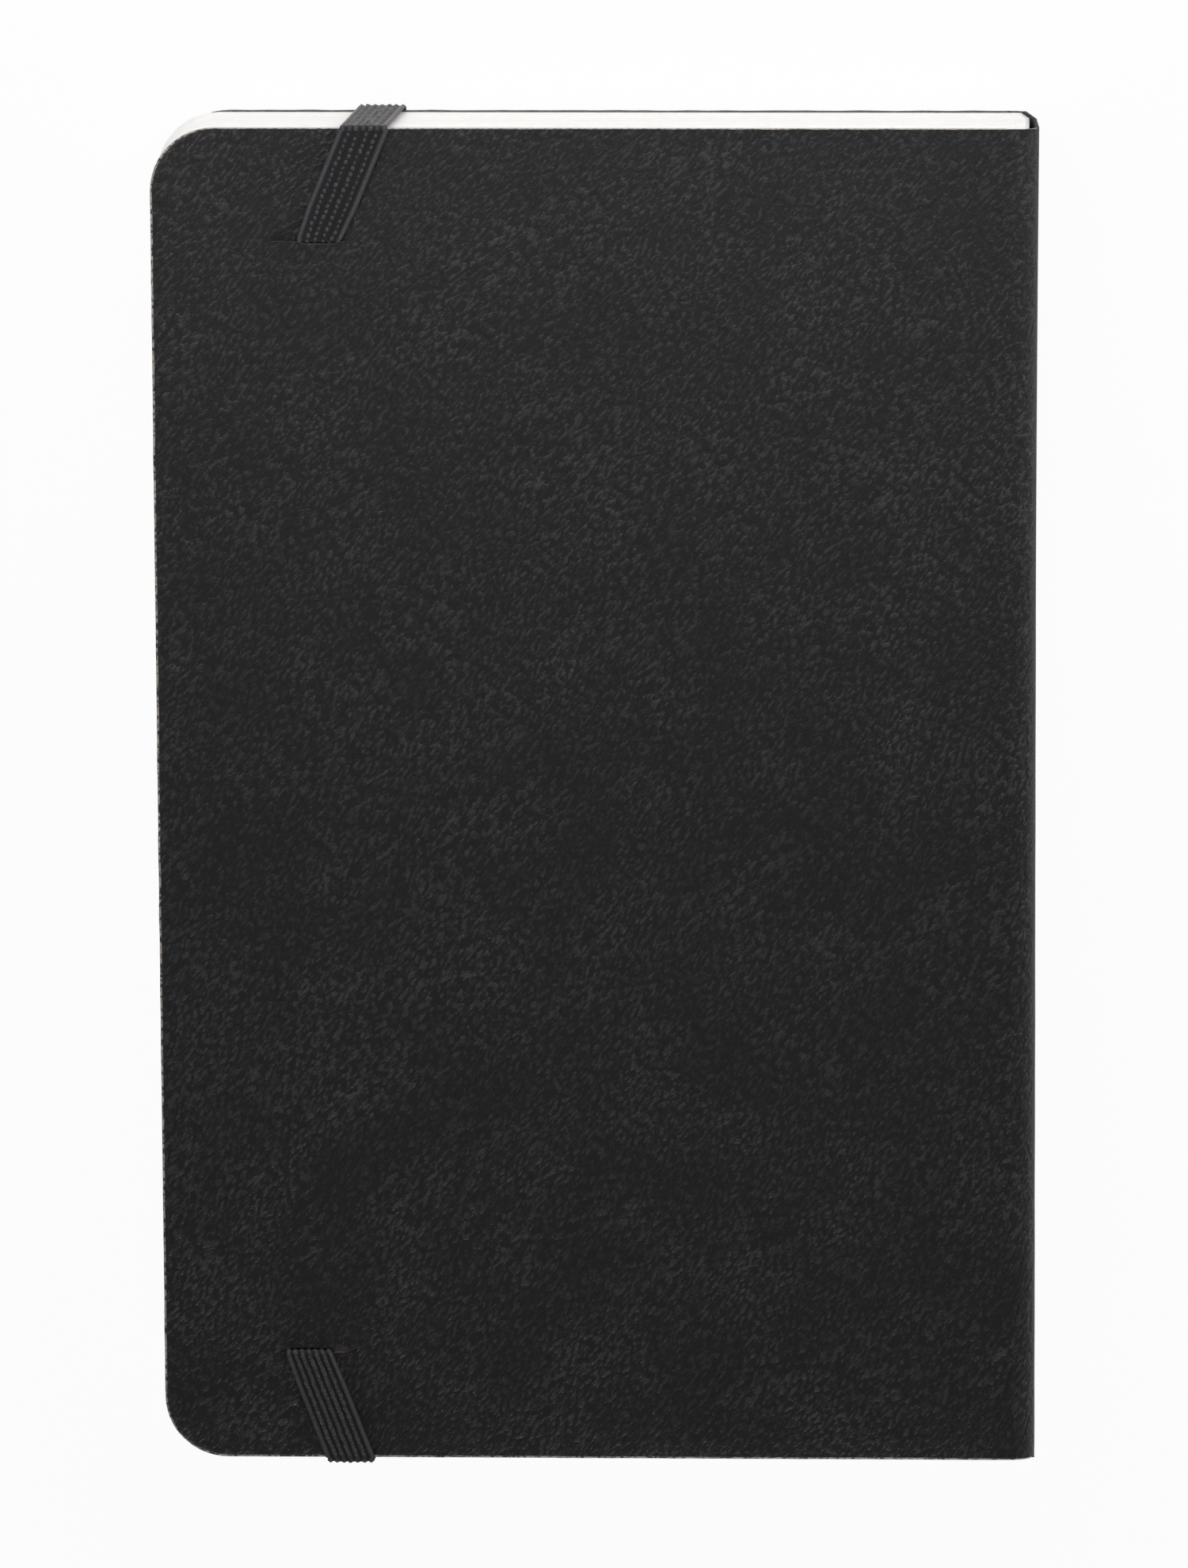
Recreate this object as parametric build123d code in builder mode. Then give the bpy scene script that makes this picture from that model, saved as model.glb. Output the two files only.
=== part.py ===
"""Pocket notebook with a flexible cover, sewn leaves and an elastic closing band.

The notebook lies closed on its front cover.
+X points to the spine, +Y to the head of the pages and +Z out of the back cover.
The origin is under the middle of the notebook, level with the underside of the band.
All sizes are in millimetres.
"""

import os

from build123d import *

os.makedirs("parts", exist_ok=True)

# ---- driving sizes: cover ----
COVER_WIDTH = 90.0  # spine to fore edge
COVER_HEIGHT = 140.0  # head to foot
CORNER_RADIUS = 6.5  # the two corners at the fore edge
COVER_SKIN = 0.35  # artificial leather
COVER_BOARD = 0.40  # flexible card glued inside each cover
SPINE_BOARD = 0.15  # paper strip glued inside the spine of the skin
JOINT_GROOVE = 2.5  # bare skin between a cover board and the spine board
SKIN_EDGE_RADIUS = 0.3  # fold of the skin from a cover into the spine

# ---- driving sizes: leaves ----
SECTIONS_PER_HALF = 6  # sewn sections on each side of the middle opening
SHEETS_PER_SECTION = 4  # each sheet is folded once and makes two leaves
SHEET_THICKNESS = 0.085
SHEET_GAP = 0.01  # air between one leaf and the next
ENDPAPER = 0.11
PAGE_SETBACK = 0.2  # leaves are trimmed this far inside the cover's edges

# ---- driving sizes: back of the block ----
THREAD = 0.20  # sewing thread diameter
SEWING_STATIONS = 6  # places along the spine where the thread links the sections
SEWING_MARGIN = 14.0  # head or foot to the outermost station
LINING = 0.12  # cloth glued over the thread
HOLLOW = 0.20  # free space between the lining and the spine board

# ---- driving sizes: elastic band ----
BAND_WIDTH = 4.8
BAND_THICKNESS = 0.50
SLOT_LENGTH = 8.0
SLOT_WIDTH = 0.9
SLOT_INSET = 16.0  # middle of a slot to the fore edge
SLOT_TO_EDGE = 11.6  # middle of a slot to the head or foot edge
CHANNEL_WIDTH = 5.4  # opening in the back cover board for the hidden run

# Distance from the fore edge to the middle of the band, along its way round.
BAND_HEAD_SLOT = 17.1
BAND_HEAD_BACK = 21.8
BAND_HEAD_FRONT = 23.2
BAND_FOOT_FRONT = 20.0
BAND_FOOT_BACK = 19.2
BAND_FOOT_SLOT = 14.9

# ---- clearances ----
OPENING_GAP = 0.03  # between two bodies that open away from each other
BAND_GAP = 0.05  # between the band and what it goes round
RUN_GAP = 0.01  # between the band's hidden run and the skin or pastedown that presses it
SPLIT_GAP = 0.01  # where one flexible piece is parted between two bodies

# ---- places that follow from the sizes ----
fore_edge = -COVER_WIDTH / 2
spine_face = COVER_WIDTH / 2
half_height = COVER_HEIGHT / 2

skin_edge = spine_face - COVER_SKIN
spine_board_edge = skin_edge - SPINE_BOARD
lining_face = spine_board_edge - HOLLOW
fold_line = lining_face - LINING - THREAD
board_edge = spine_board_edge - JOINT_GROOVE

leaf_pitch = SHEET_THICKNESS + SHEET_GAP
section_thickness = 2 * SHEETS_PER_SECTION * leaf_pitch
half_block = SECTIONS_PER_HALF * section_thickness

front_face = BAND_THICKNESS + BAND_GAP
front_board_face = front_face + COVER_SKIN
front_paste_face = front_board_face + COVER_BOARD
front_fly_face = front_paste_face + ENDPAPER + OPENING_GAP
front_block_face = front_fly_face + ENDPAPER
middle = front_block_face + half_block + OPENING_GAP / 2
back_block_face = middle + OPENING_GAP / 2
back_fly_face = back_block_face + half_block
back_paste_face = back_fly_face + ENDPAPER + OPENING_GAP
back_board_face = back_paste_face + ENDPAPER
back_skin_face = back_board_face + COVER_BOARD
back_face = back_skin_face + COVER_SKIN
band_back_face = back_face + BAND_GAP
top = band_back_face + BAND_THICKNESS
wrap_face = half_height + BAND_GAP


def finish(piece, name):
    """Label a finished piece and write it as its own file."""
    piece.part.label = name
    export_step(piece.part, f"parts/{name}.step")


def trimmed_outline(level, spine_side, setback):
    """A leaf or cover seen flat: square at the spine, round at the two fore-edge corners."""
    fore_side = fore_edge + setback
    with BuildSketch(Plane.XY.offset(level)) as outline:
        with Locations(((fore_side + spine_side) / 2, 0)):
            Rectangle(spine_side - fore_side, COVER_HEIGHT - 2 * setback)
        fillet(outline.vertices().group_by(Axis.X)[0], CORNER_RADIUS - setback)
    return outline.sketch


def band_outline(level, start, end, width):
    """A straight stretch of band seen flat, cut square to Y at both ends."""
    (start_x, start_y), (end_x, end_y) = start, end
    half = width / 2
    with BuildSketch(Plane.XY.offset(level)) as outline:
        with BuildLine():
            Polyline(
                (start_x - half, start_y),
                (start_x + half, start_y),
                (end_x + half, end_y),
                (end_x - half, end_y),
                close=True,
            )
        make_face()
    return outline.sketch


# ---- front cover ----
with BuildPart() as front_cover_skin:
    extrude(trimmed_outline(front_face, skin_edge, 0), amount=COVER_SKIN)
finish(front_cover_skin, "front_cover_skin")

with BuildPart() as front_cover_board:
    extrude(trimmed_outline(front_board_face, board_edge, 0), amount=COVER_BOARD)
finish(front_cover_board, "front_cover_board")

with BuildPart() as front_pastedown:
    extrude(trimmed_outline(front_paste_face, fold_line, PAGE_SETBACK), amount=ENDPAPER)
finish(front_pastedown, "front_pastedown")


# ---- leaves ----
def flyleaf(name, level):
    """The free half of an endpaper, next to the sewn sections."""
    with BuildPart() as leaf:
        extrude(trimmed_outline(level, fold_line, PAGE_SETBACK), amount=ENDPAPER)
    finish(leaf, name)


def section(name, level):
    """Folded sheets nested one in another, their folds towards the spine."""
    centre = level + section_thickness / 2
    fold_centre = fold_line - section_thickness / 2
    fore_side = fore_edge + PAGE_SETBACK
    flat_length = fold_centre - fore_side
    flat_middle = (fore_side + fold_centre) / 2
    with BuildPart() as sheets:
        for sheet in range(SHEETS_PER_SECTION):
            inside = SHEET_GAP / 2 + sheet * leaf_pitch
            outside = inside + SHEET_THICKNESS
            with BuildSketch(Plane.XZ) as folded_sheet:
                with Locations((flat_middle, centre)):
                    Rectangle(flat_length, 2 * outside)
                with Locations((fold_centre, centre)):
                    Circle(outside)
                    Circle(inside, mode=Mode.SUBTRACT)
                with Locations((flat_middle, centre)):
                    Rectangle(flat_length, 2 * inside, mode=Mode.SUBTRACT)
            extrude(amount=half_height - PAGE_SETBACK, both=True)
        extrude(
            trimmed_outline(level, fold_line, PAGE_SETBACK),
            amount=section_thickness,
            mode=Mode.INTERSECT,
        )
    finish(sheets, name)


flyleaf("front_flyleaf", front_fly_face)
for count in range(SECTIONS_PER_HALF):
    rise = count * section_thickness
    section(f"section_{count + 1:02d}", front_block_face + rise)
    section(f"section_{SECTIONS_PER_HALF + count + 1:02d}", back_block_face + rise)
flyleaf("back_flyleaf", back_fly_face)


# ---- sewing thread and the cloth glued over it, one length for each half of the block ----
def sewing_thread(first_fold, last_fold):
    """Thread links over the folds, one at each station along the spine."""
    spacing = (COVER_HEIGHT - 2 * SEWING_MARGIN) / (SEWING_STATIONS - 1)
    with BuildPart() as thread:
        with BuildSketch(Plane.XY.offset(first_fold)):
            with Locations((fold_line + THREAD / 2, 0)):
                with GridLocations(0, spacing, 1, SEWING_STATIONS):
                    Circle(THREAD / 2)
        extrude(amount=last_fold - first_fold)
    return thread


def upright_strip(inner_x, thickness, low, high, setback):
    """A strip that stands behind the folds, from head to foot."""
    with BuildSketch(Plane.XY.offset(low)) as outline:
        with Locations((inner_x + thickness / 2, 0)):
            Rectangle(thickness, COVER_HEIGHT - 2 * setback)
    return extrude(outline.sketch, amount=high - low, mode=Mode.PRIVATE)


half_section = section_thickness / 2
front_fold = front_block_face + half_section
back_fold = back_block_face + half_section
fold_span = half_block - section_thickness

front_sewing_thread = sewing_thread(front_fold, front_fold + fold_span)
finish(front_sewing_thread, "front_sewing_thread")

back_sewing_thread = sewing_thread(back_fold, back_fold + fold_span)
finish(back_sewing_thread, "back_sewing_thread")

with BuildPart() as front_block_lining:
    add(upright_strip(fold_line, THREAD + LINING, front_block_face, middle - SPLIT_GAP, PAGE_SETBACK))
    add(front_sewing_thread.part, mode=Mode.SUBTRACT)
finish(front_block_lining, "front_block_lining")

with BuildPart() as back_block_lining:
    add(upright_strip(fold_line, THREAD + LINING, middle + SPLIT_GAP, back_fly_face, PAGE_SETBACK))
    add(back_sewing_thread.part, mode=Mode.SUBTRACT)
finish(back_block_lining, "back_block_lining")

# ---- spine of the cover, parted at the middle opening ----
with BuildPart() as front_spine_board:
    add(upright_strip(spine_board_edge, SPINE_BOARD, front_board_face, middle - SPLIT_GAP, PAGE_SETBACK))
finish(front_spine_board, "front_spine_board")

with BuildPart() as back_spine_board:
    add(upright_strip(spine_board_edge, SPINE_BOARD, middle + SPLIT_GAP, back_skin_face, PAGE_SETBACK))
finish(back_spine_board, "back_spine_board")

with BuildPart() as front_spine_skin:
    add(upright_strip(skin_edge, COVER_SKIN, front_face, middle - SPLIT_GAP, 0))
    outer_edges = front_spine_skin.edges().filter_by(Axis.Y).group_by(Axis.X)[-1]
    fillet(outer_edges.sort_by(Axis.Z)[0], SKIN_EDGE_RADIUS)
finish(front_spine_skin, "front_spine_skin")

with BuildPart() as back_spine_skin:
    add(upright_strip(skin_edge, COVER_SKIN, middle + SPLIT_GAP, back_face, 0))
    outer_edges = back_spine_skin.edges().filter_by(Axis.Y).group_by(Axis.X)[-1]
    fillet(outer_edges.sort_by(Axis.Z)[-1], SKIN_EDGE_RADIUS)
finish(back_spine_skin, "back_spine_skin")

# ---- places along the band ----
slot_y = half_height - SLOT_TO_EDGE
run_end_y = slot_y - BAND_THICKNESS / 2
head_slot_x = fore_edge + BAND_HEAD_SLOT
foot_slot_x = fore_edge + BAND_FOOT_SLOT
head_back_x = fore_edge + BAND_HEAD_BACK
foot_back_x = fore_edge + BAND_FOOT_BACK
head_front_x = fore_edge + BAND_HEAD_FRONT
foot_front_x = fore_edge + BAND_FOOT_FRONT

# ---- back cover ----
with BuildPart() as back_pastedown:
    extrude(trimmed_outline(back_paste_face, fold_line, PAGE_SETBACK), amount=ENDPAPER)
finish(back_pastedown, "back_pastedown")

with BuildPart() as back_cover_board:
    extrude(trimmed_outline(back_board_face, board_edge, 0), amount=COVER_BOARD)
    channel_end = slot_y + SLOT_WIDTH / 2
    channel = band_outline(
        back_board_face, (head_slot_x, channel_end), (foot_slot_x, -channel_end), CHANNEL_WIDTH
    )
    extrude(channel, amount=COVER_BOARD, mode=Mode.SUBTRACT)
finish(back_cover_board, "back_cover_board")

with BuildPart() as back_cover_skin:
    extrude(trimmed_outline(back_skin_face, skin_edge, 0), amount=COVER_SKIN)
    with BuildSketch(Plane.XY.offset(back_skin_face)):
        with Locations((fore_edge + SLOT_INSET, slot_y), (fore_edge + SLOT_INSET, -slot_y)):
            SlotOverall(SLOT_LENGTH, SLOT_WIDTH)
    extrude(amount=COVER_SKIN, mode=Mode.SUBTRACT)
finish(back_cover_skin, "back_cover_skin")

# ---- elastic band: the stretches held by the back cover ----
run_level = back_board_face + RUN_GAP
pressed_thickness = COVER_BOARD - 2 * RUN_GAP

with BuildPart() as elastic_hidden_run:
    hidden_run = band_outline(
        run_level, (head_slot_x, run_end_y), (foot_slot_x, -run_end_y), BAND_WIDTH
    )
    extrude(hidden_run, amount=pressed_thickness)
finish(elastic_hidden_run, "elastic_hidden_run")


def band_tail(name, slot_x, edge_x, side):
    """The band from its slot over the back cover to the head (side 1) or foot (side -1)."""
    slot_end = side * run_end_y
    edge_end = side * (wrap_face - SPLIT_GAP)
    with BuildPart() as tail:
        flat = band_outline(band_back_face, (slot_x, slot_end), (edge_x, edge_end), BAND_WIDTH)
        extrude(flat, amount=BAND_THICKNESS)
        with BuildSketch(Plane.XY.offset(run_level)):
            with Locations((slot_x, side * slot_y)):
                Rectangle(BAND_WIDTH, BAND_THICKNESS)
        extrude(amount=band_back_face - run_level)
    finish(tail, name)


band_tail("elastic_head_tail", head_slot_x, head_back_x, 1)
band_tail("elastic_foot_tail", foot_slot_x, foot_back_x, -1)


# ---- elastic band: the part that pulls off over the fore edge ----
def band_wrap(name, front_x, back_x, side):
    """The band where it stands against the head (side 1) or foot (side -1) of the leaves."""
    half = BAND_WIDTH / 2
    with BuildPart() as wrap:
        with BuildSketch(Plane.XZ.offset(-side * wrap_face)):
            with BuildLine():
                Polyline(
                    (front_x - half, 0),
                    (front_x + half, 0),
                    (back_x + half, top),
                    (back_x - half, top),
                    close=True,
                )
            make_face()
        extrude(amount=-side * BAND_THICKNESS)
        outer_face = wrap.faces().sort_by(Axis.Y)[-1 if side > 0 else 0]
        fillet(outer_face.edges().filter_by(Axis.X), 0.8 * BAND_THICKNESS)
    finish(wrap, name)


band_wrap("elastic_head_wrap", head_front_x, head_back_x, 1)
band_wrap("elastic_foot_wrap", foot_front_x, foot_back_x, -1)

with BuildPart() as elastic_front_span:
    front_run = band_outline(
        0, (head_front_x, wrap_face), (foot_front_x, -wrap_face), BAND_WIDTH
    )
    extrude(front_run, amount=BAND_THICKNESS)
finish(elastic_front_span, "elastic_front_span")

print(f"closed thickness without the band: {back_face - front_face:.2f} mm")
print(f"middle of the block at z = {middle:.3f} mm, back cover face at z = {back_face:.3f} mm")
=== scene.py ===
"""Pocket notebook in black artificial leather: the looks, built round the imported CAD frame.

The notebook lies on its front cover. +X is the spine, +Y the head and +Z out of the back cover.
"""

import math
import random
from functools import partial

import bmesh
import bpy
import numpy as np
from mathutils import Euler, Matrix, Vector, noise


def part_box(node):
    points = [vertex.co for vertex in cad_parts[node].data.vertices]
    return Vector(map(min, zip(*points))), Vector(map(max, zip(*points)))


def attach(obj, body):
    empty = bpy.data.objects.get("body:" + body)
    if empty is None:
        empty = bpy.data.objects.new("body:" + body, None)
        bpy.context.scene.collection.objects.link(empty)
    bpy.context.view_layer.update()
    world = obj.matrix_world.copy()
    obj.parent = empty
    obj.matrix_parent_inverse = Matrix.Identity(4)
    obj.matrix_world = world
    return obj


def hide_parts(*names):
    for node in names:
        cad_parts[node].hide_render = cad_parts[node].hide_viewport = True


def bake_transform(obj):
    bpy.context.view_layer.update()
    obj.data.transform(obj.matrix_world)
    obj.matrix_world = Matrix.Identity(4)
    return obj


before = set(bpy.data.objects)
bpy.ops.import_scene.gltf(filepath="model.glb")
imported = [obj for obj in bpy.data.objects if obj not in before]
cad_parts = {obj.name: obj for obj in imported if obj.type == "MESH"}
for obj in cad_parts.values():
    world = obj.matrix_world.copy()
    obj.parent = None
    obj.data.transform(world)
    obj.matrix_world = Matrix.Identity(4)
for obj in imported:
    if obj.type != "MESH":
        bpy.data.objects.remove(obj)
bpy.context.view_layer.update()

MM = 0.001

# ---- places that come from the frame ----
back_skin_low, back_skin_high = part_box("back_cover_skin")
front_skin_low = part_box("front_cover_skin")[0]
back_fly, back_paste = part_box("back_flyleaf"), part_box("back_pastedown")
front_fly, front_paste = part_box("front_flyleaf"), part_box("front_pastedown")

FORE_EDGE = back_skin_low.x
SPINE_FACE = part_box("back_spine_skin")[1].x
HALF_HEIGHT = back_skin_high.y
BACK_FACE = back_skin_high.z
FRONT_FACE = front_skin_low.z
SKIN = back_skin_high.z - back_skin_low.z
MIDDLE = (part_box("section_06")[1].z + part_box("section_07")[0].z) / 2
FOLD_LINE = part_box("section_06")[1].x
PAGE_SETBACK = back_fly[0].x - FORE_EDGE

# ---- sizes of the finish, beyond what the frame gives ----
CORNER_RADIUS = 6.5 * MM
FRONT_CORNER_RADIUS = 7.6 * MM  # the front cover's corners hide behind the leaves'
FRONT_SETBACK = 0.12 * MM  # how far inside the back cover's cut the front cover's lies
BACK_FOLD = 1.4 * MM  # height of the skin's turn from the back cover into the spine
BACK_SHOULDER = 3.2 * MM  # how far in from the spine that turn starts
FRONT_FOLD = 0.9 * MM
FRONT_SHOULDER = 1.2 * MM
SPINE_LEAN = 1.35 * MM  # how far the spine leans in by the front cover
LEAN_HEIGHT = 5.05 * MM  # height over which it leans
HEAD_BULGE = 0.3 * MM  # the spine stands out at the head, where the notebook is pulled from a shelf
LEAF_REACH = 0.735 * MM  # from the spine's face to the leaves' folds
SPINE_CARD = 0.12 * MM  # thickness of the strip of card in the spine
TURN_STEPS = 16  # faces round the skin's turn
GRID_STEP = 0.75 * MM
CUT_ANGLE = math.radians(50)  # faces that meet more sharply than this are a cut, not a bend
LEAF = 0.085 * MM
LEAF_PITCH = 0.095 * MM  # from one leaf to the next
SHEETS_PER_SECTION = 4

SLOT_LENGTH = 8.0 * MM
SLOT_WIDTH = 0.9 * MM
SLOT_X = FORE_EDGE + 16.0 * MM
SLOT_Y = HALF_HEIGHT - 11.6 * MM


def spine_x(y, z):
    """Where the skin's outer face lies on the spine: it leans in at the front and stands out at the head."""
    lean = np.clip(1 - (z - FRONT_FACE) / LEAN_HEIGHT, 0, 1)
    bulge = np.clip(y / HALF_HEIGHT, 0, 1) ** 2.2 * np.clip((z - FRONT_FACE) / LEAN_HEIGHT - 1, 0, 1)
    return SPINE_FACE - SPINE_LEAN * lean + HEAD_BULGE * bulge


def fold_x(z):
    """Where the leaves' folds reach: just inside the spine, and following it in at the front."""
    return min(SPINE_FACE - LEAF_REACH, float(spine_x(0, z)) - SKIN - 0.04 * MM)


# ================= materials =================
def srgb(code):
    """A linear RGBA colour from an sRGB hex value."""
    parts = [int(code[i : i + 2], 16) / 255 for i in (1, 3, 5)]
    return tuple(c / 12.92 if c <= 0.04045 else ((c + 0.055) / 1.055) ** 2.4 for c in parts) + (1,)


def add_node(tree, kind, inputs=None, **settings):
    """Adds one node with its settings, and gives each input a value, a link or a node's first output."""
    node = tree.nodes.new(kind)
    for name, value in settings.items():
        setattr(node, name, value)
    for key, value in (inputs or {}).items():
        if isinstance(value, bpy.types.Node):
            value = value.outputs[0]
        if isinstance(value, bpy.types.NodeSocket):
            tree.links.new(value, node.inputs[key])
        else:
            node.inputs[key].default_value = value
    return node


def cleared(owner):
    """Clears the nodes of a material or a world, and gives the function that adds one there."""
    owner.use_nodes = True
    owner.node_tree.nodes.clear()
    return partial(add_node, owner.node_tree)


def new_material(name):
    """A material, the function that adds a node to it, and places on the object."""
    material = bpy.data.materials.new(name)
    add = cleared(material)
    return material, add, add("ShaderNodeTexCoord").outputs["Object"]


def finish_surface(add, share, low, high, height, strength, depth_mm, **on_shader):
    """Ends a material: a share mixes its two tones, a height is its relief, and the rest is uniform."""
    colour = add("ShaderNodeMix", {"Factor": share, 6: srgb(low), 7: srgb(high)}, data_type="RGBA")
    bump = add("ShaderNodeBump", {"Height": height, "Strength": strength, "Distance": depth_mm * MM})
    sockets = {"Base Color": colour.outputs[2], "Normal": bump}
    sockets.update({key.replace("_", " "): value for key, value in on_shader.items()})
    add("ShaderNodeOutputMaterial", {"Surface": add("ShaderNodeBsdfPrincipled", sockets)})


def cells_per_metre(size_mm):
    return 1 / (size_mm * MM)


def leather():
    """Artificial leather: a polyurethane film embossed with a fine grain and laminated to knit.

    Its sheen breaks into short bright strokes on the tops of the grain, partly from the bump and partly a
    painted highlight in the colour, over a near-black dye.
    """
    material, add, place = new_material("polyurethane_artificial_leather")
    # The lean of the grain drifts over about 20 mm.
    drift = add("ShaderNodeTexNoise", {"Vector": place, "Scale": cells_per_metre(20), "Detail": 1.0})
    centred = add(
        "ShaderNodeVectorMath", {0: drift.outputs["Color"], 1: (0.5, 0.5, 0.5)}, operation="SUBTRACT"
    )
    bend = add("ShaderNodeVectorMath", {0: centred, "Scale": 1.6 * MM}, operation="SCALE")
    warped = add("ShaderNodeVectorMath", {0: place, 1: bend}, operation="ADD")
    # Grain tops are about 0.3 mm across and 0.6 mm long, and run together into leaning wrinkles.
    grain_place = add(
        "ShaderNodeMapping",
        {"Vector": warped, "Rotation": (0, 0, math.radians(-36)), "Scale": (0.36 * MM, 0.8 * MM, 0.45 * MM)},
        vector_type="TEXTURE",
    )
    grain = add("ShaderNodeTexNoise", {"Vector": grain_place, "Scale": 1.0, "Detail": 2.0, "Roughness": 0.5})
    tops = add("ShaderNodeMapRange", {"Value": grain, 1: 0.44, 2: 0.76}, interpolation_type="SMOOTHSTEP")
    # Creases part the hide pattern into patches about 2 by 4 mm.
    crease_place = add(
        "ShaderNodeMapping",
        {"Vector": warped, "Rotation": (0, 0, math.radians(-28)), "Scale": (2.0 * MM, 4.2 * MM, 2.6 * MM)},
        vector_type="TEXTURE",
    )
    crease = add("ShaderNodeTexVoronoi", {"Vector": crease_place, "Scale": 1.0}, feature="DISTANCE_TO_EDGE")
    patch = add("ShaderNodeMapRange", {"Value": crease, 1: 0.0, 2: 0.11}, interpolation_type="SMOOTHSTEP")
    # Where the pattern was pressed harder, over 9 mm or so, the grain stands out more.
    pressed = add("ShaderNodeTexNoise", {"Vector": place, "Scale": cells_per_metre(9), "Detail": 3.0})
    depth = add("ShaderNodeMapRange", {"Value": pressed, 1: 0.32, 2: 0.66, 3: 0.5, 4: 1.1})
    # The film's own roughness is about 0.2 mm.
    fine = add("ShaderNodeTexNoise", {"Vector": place, "Scale": cells_per_metre(0.2), "Detail": 2.0})
    raised_for_painted_light = add("ShaderNodeMath", {0: tops, 1: depth}, operation="MULTIPLY")
    folded = add("ShaderNodeMath", {0: patch, 1: 0.35, 2: raised_for_painted_light}, operation="MULTIPLY_ADD")
    relief = add("ShaderNodeMath", {0: fine, 1: 0.3, 2: folded}, operation="MULTIPLY_ADD")
    # The grain tops are painted lighter than the creases: a painted highlight standing in for the sheen on
    # their tops.
    painted_grain_highlight = add("ShaderNodeMath", {0: raised_for_painted_light, 1: patch}, operation="MULTIPLY", use_clamp=True)
    rough = add("ShaderNodeMapRange", {"Value": fine, 1: 0.3, 2: 0.7, 3: 0.44, 4: 0.6})
    finish_surface(
        add, painted_grain_highlight, "#242324", "#403d41", relief, 1.0, 0.1,
        Roughness=rough, IOR=1.5, Specular_IOR_Level=0.4,
    )
    return material


def mottled(name, low, high, size_mm, depth_mm, roughness, edges=(0.3, 0.7)):
    """A matt stuff with a soft two-colour mottle that is also its faint relief."""
    material, add, place = new_material(name)
    cloud = add("ShaderNodeTexNoise", {"Vector": place, "Scale": cells_per_metre(size_mm), "Detail": 4.0})
    share = add("ShaderNodeMapRange", {"Value": cloud, 1: edges[0], 2: edges[1]})
    finish_surface(
        add, share, low, high, cloud, 0.6, depth_mm, Roughness=roughness, Specular_IOR_Level=0.3
    )
    return material


def paper(name, low, high, fibre_mm):
    """Wood-free paper: matt and even, with faint fibre clouds, and fine lines where leaves are stacked."""
    material, add, place = new_material(name)
    cloud = add("ShaderNodeTexNoise", {"Vector": place, "Scale": cells_per_metre(fibre_mm), "Detail": 4.0})
    # A stack's edge is streaked: 30 mm along the leaves and 0.25 mm, a few leaves, high.
    streak_place = add(
        "ShaderNodeMapping", {"Vector": place, "Scale": (30 * MM, 30 * MM, 0.25 * MM)}, vector_type="TEXTURE"
    )
    streak = add("ShaderNodeTexNoise", {"Vector": streak_place, "Scale": 1.0, "Detail": 2.0})
    both = add("ShaderNodeMix", {"Factor": 0.6, 2: cloud, 3: streak}, data_type="FLOAT")
    finish_surface(add, both, low, high, cloud, 0.3, 0.01, Roughness=0.88, Specular_IOR_Level=0.25)
    return material


def lining_cloth():
    """Open cotton gauze stiffened with glue: threads about 0.5 mm apart both ways."""
    material, add, place = new_material("glued_cotton_gauze")
    # A wave repeats every 0.31 of its unit, so 1.6 mm here gives threads 0.5 mm apart.
    threads = {"Vector": place, "Scale": cells_per_metre(1.6), "Distortion": 0.4}
    up = add("ShaderNodeTexWave", threads, bands_direction="Z").outputs["Fac"]
    across = add("ShaderNodeTexWave", threads, bands_direction="Y").outputs["Fac"]
    weave = add("ShaderNodeMath", {0: up, 1: across}, operation="MAXIMUM")
    finish_surface(add, weave, "#b9b3a4", "#e6e1d4", weave, 0.7, 0.05, Roughness=0.85)
    return material


def knitted_elastic():
    """Rubber core under a polyester knit: black yarn, painted lighter grey where loops stand up and painted
    shade between them.
    """
    material, add, place = new_material("black_knitted_elastic")
    # Filaments are about 0.05 mm; they are drawn at 0.18 mm, the finest that shows.
    yarn = add("ShaderNodeTexNoise", {"Vector": place, "Scale": cells_per_metre(0.18), "Detail": 3.0})
    # Painted light and shade: a share stored on the band paints its cords and loops lighter and its valleys
    # darker.
    raised_for_painted_light = add("ShaderNodeAttribute", attribute_name="raised_for_painted_light").outputs["Fac"]
    lit = add("ShaderNodeMath", {0: raised_for_painted_light, 1: yarn}, operation="MULTIPLY")
    share = add("ShaderNodeMath", {0: lit, 1: 1.5, 2: 0.05}, operation="MULTIPLY_ADD", use_clamp=True)
    finish_surface(
        add, share, "#131214", "#565357", yarn, 0.7, 0.05,
        Roughness=0.7, Specular_IOR_Level=0.3, Sheen_Weight=0.55, Sheen_Roughness=0.3,
    )
    return material


LEATHER = leather()
# The knit under the film where it is cut: greige fibres with specks of the black film dragged over them.
BACKING = mottled("cut_edge_of_leather_backing", "#3a3533", "#b3aba3", 0.5, 0.04, 0.9, edges=(0.4, 0.56))
# The spine's cut and the inside of its skin are a darker greige.
DARK_BACKING = mottled("darker_cut_edge", "#1a1618", "#383134", 0.6, 0.03, 0.8)
# A darker mauve-grey copy of the cut edge: painted shade for the front cover's cut, which lies in shadow, and
# for the slots' walls.
SHADED_CUT_EDGE = mottled("cut_edge_painted_shade", "#4e474a", "#857b80", 0.6, 0.03, 0.85)
BOOK_PAPER = paper("ivory_book_paper", "#f4f3f1", "#faf9f8", 1.2)
ENDPAPER = paper("ivory_endpaper", "#f0eee7", "#f8f7f2", 0.9)
# Pressed card with a slightly felted face. The front board and the spine's strip take a darker copy of it:
# painted shade, as the front cover's cut lies in shadow.
CARD = mottled("pressed_grey_card", "#9a9188", "#c8c0b6", 0.5, 0.03, 0.92)
SHADED_CARD = mottled("grey_card_painted_shade", "#4c4649", "#746c70", 0.5, 0.03, 0.92)
GAUZE = lining_cloth()
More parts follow.
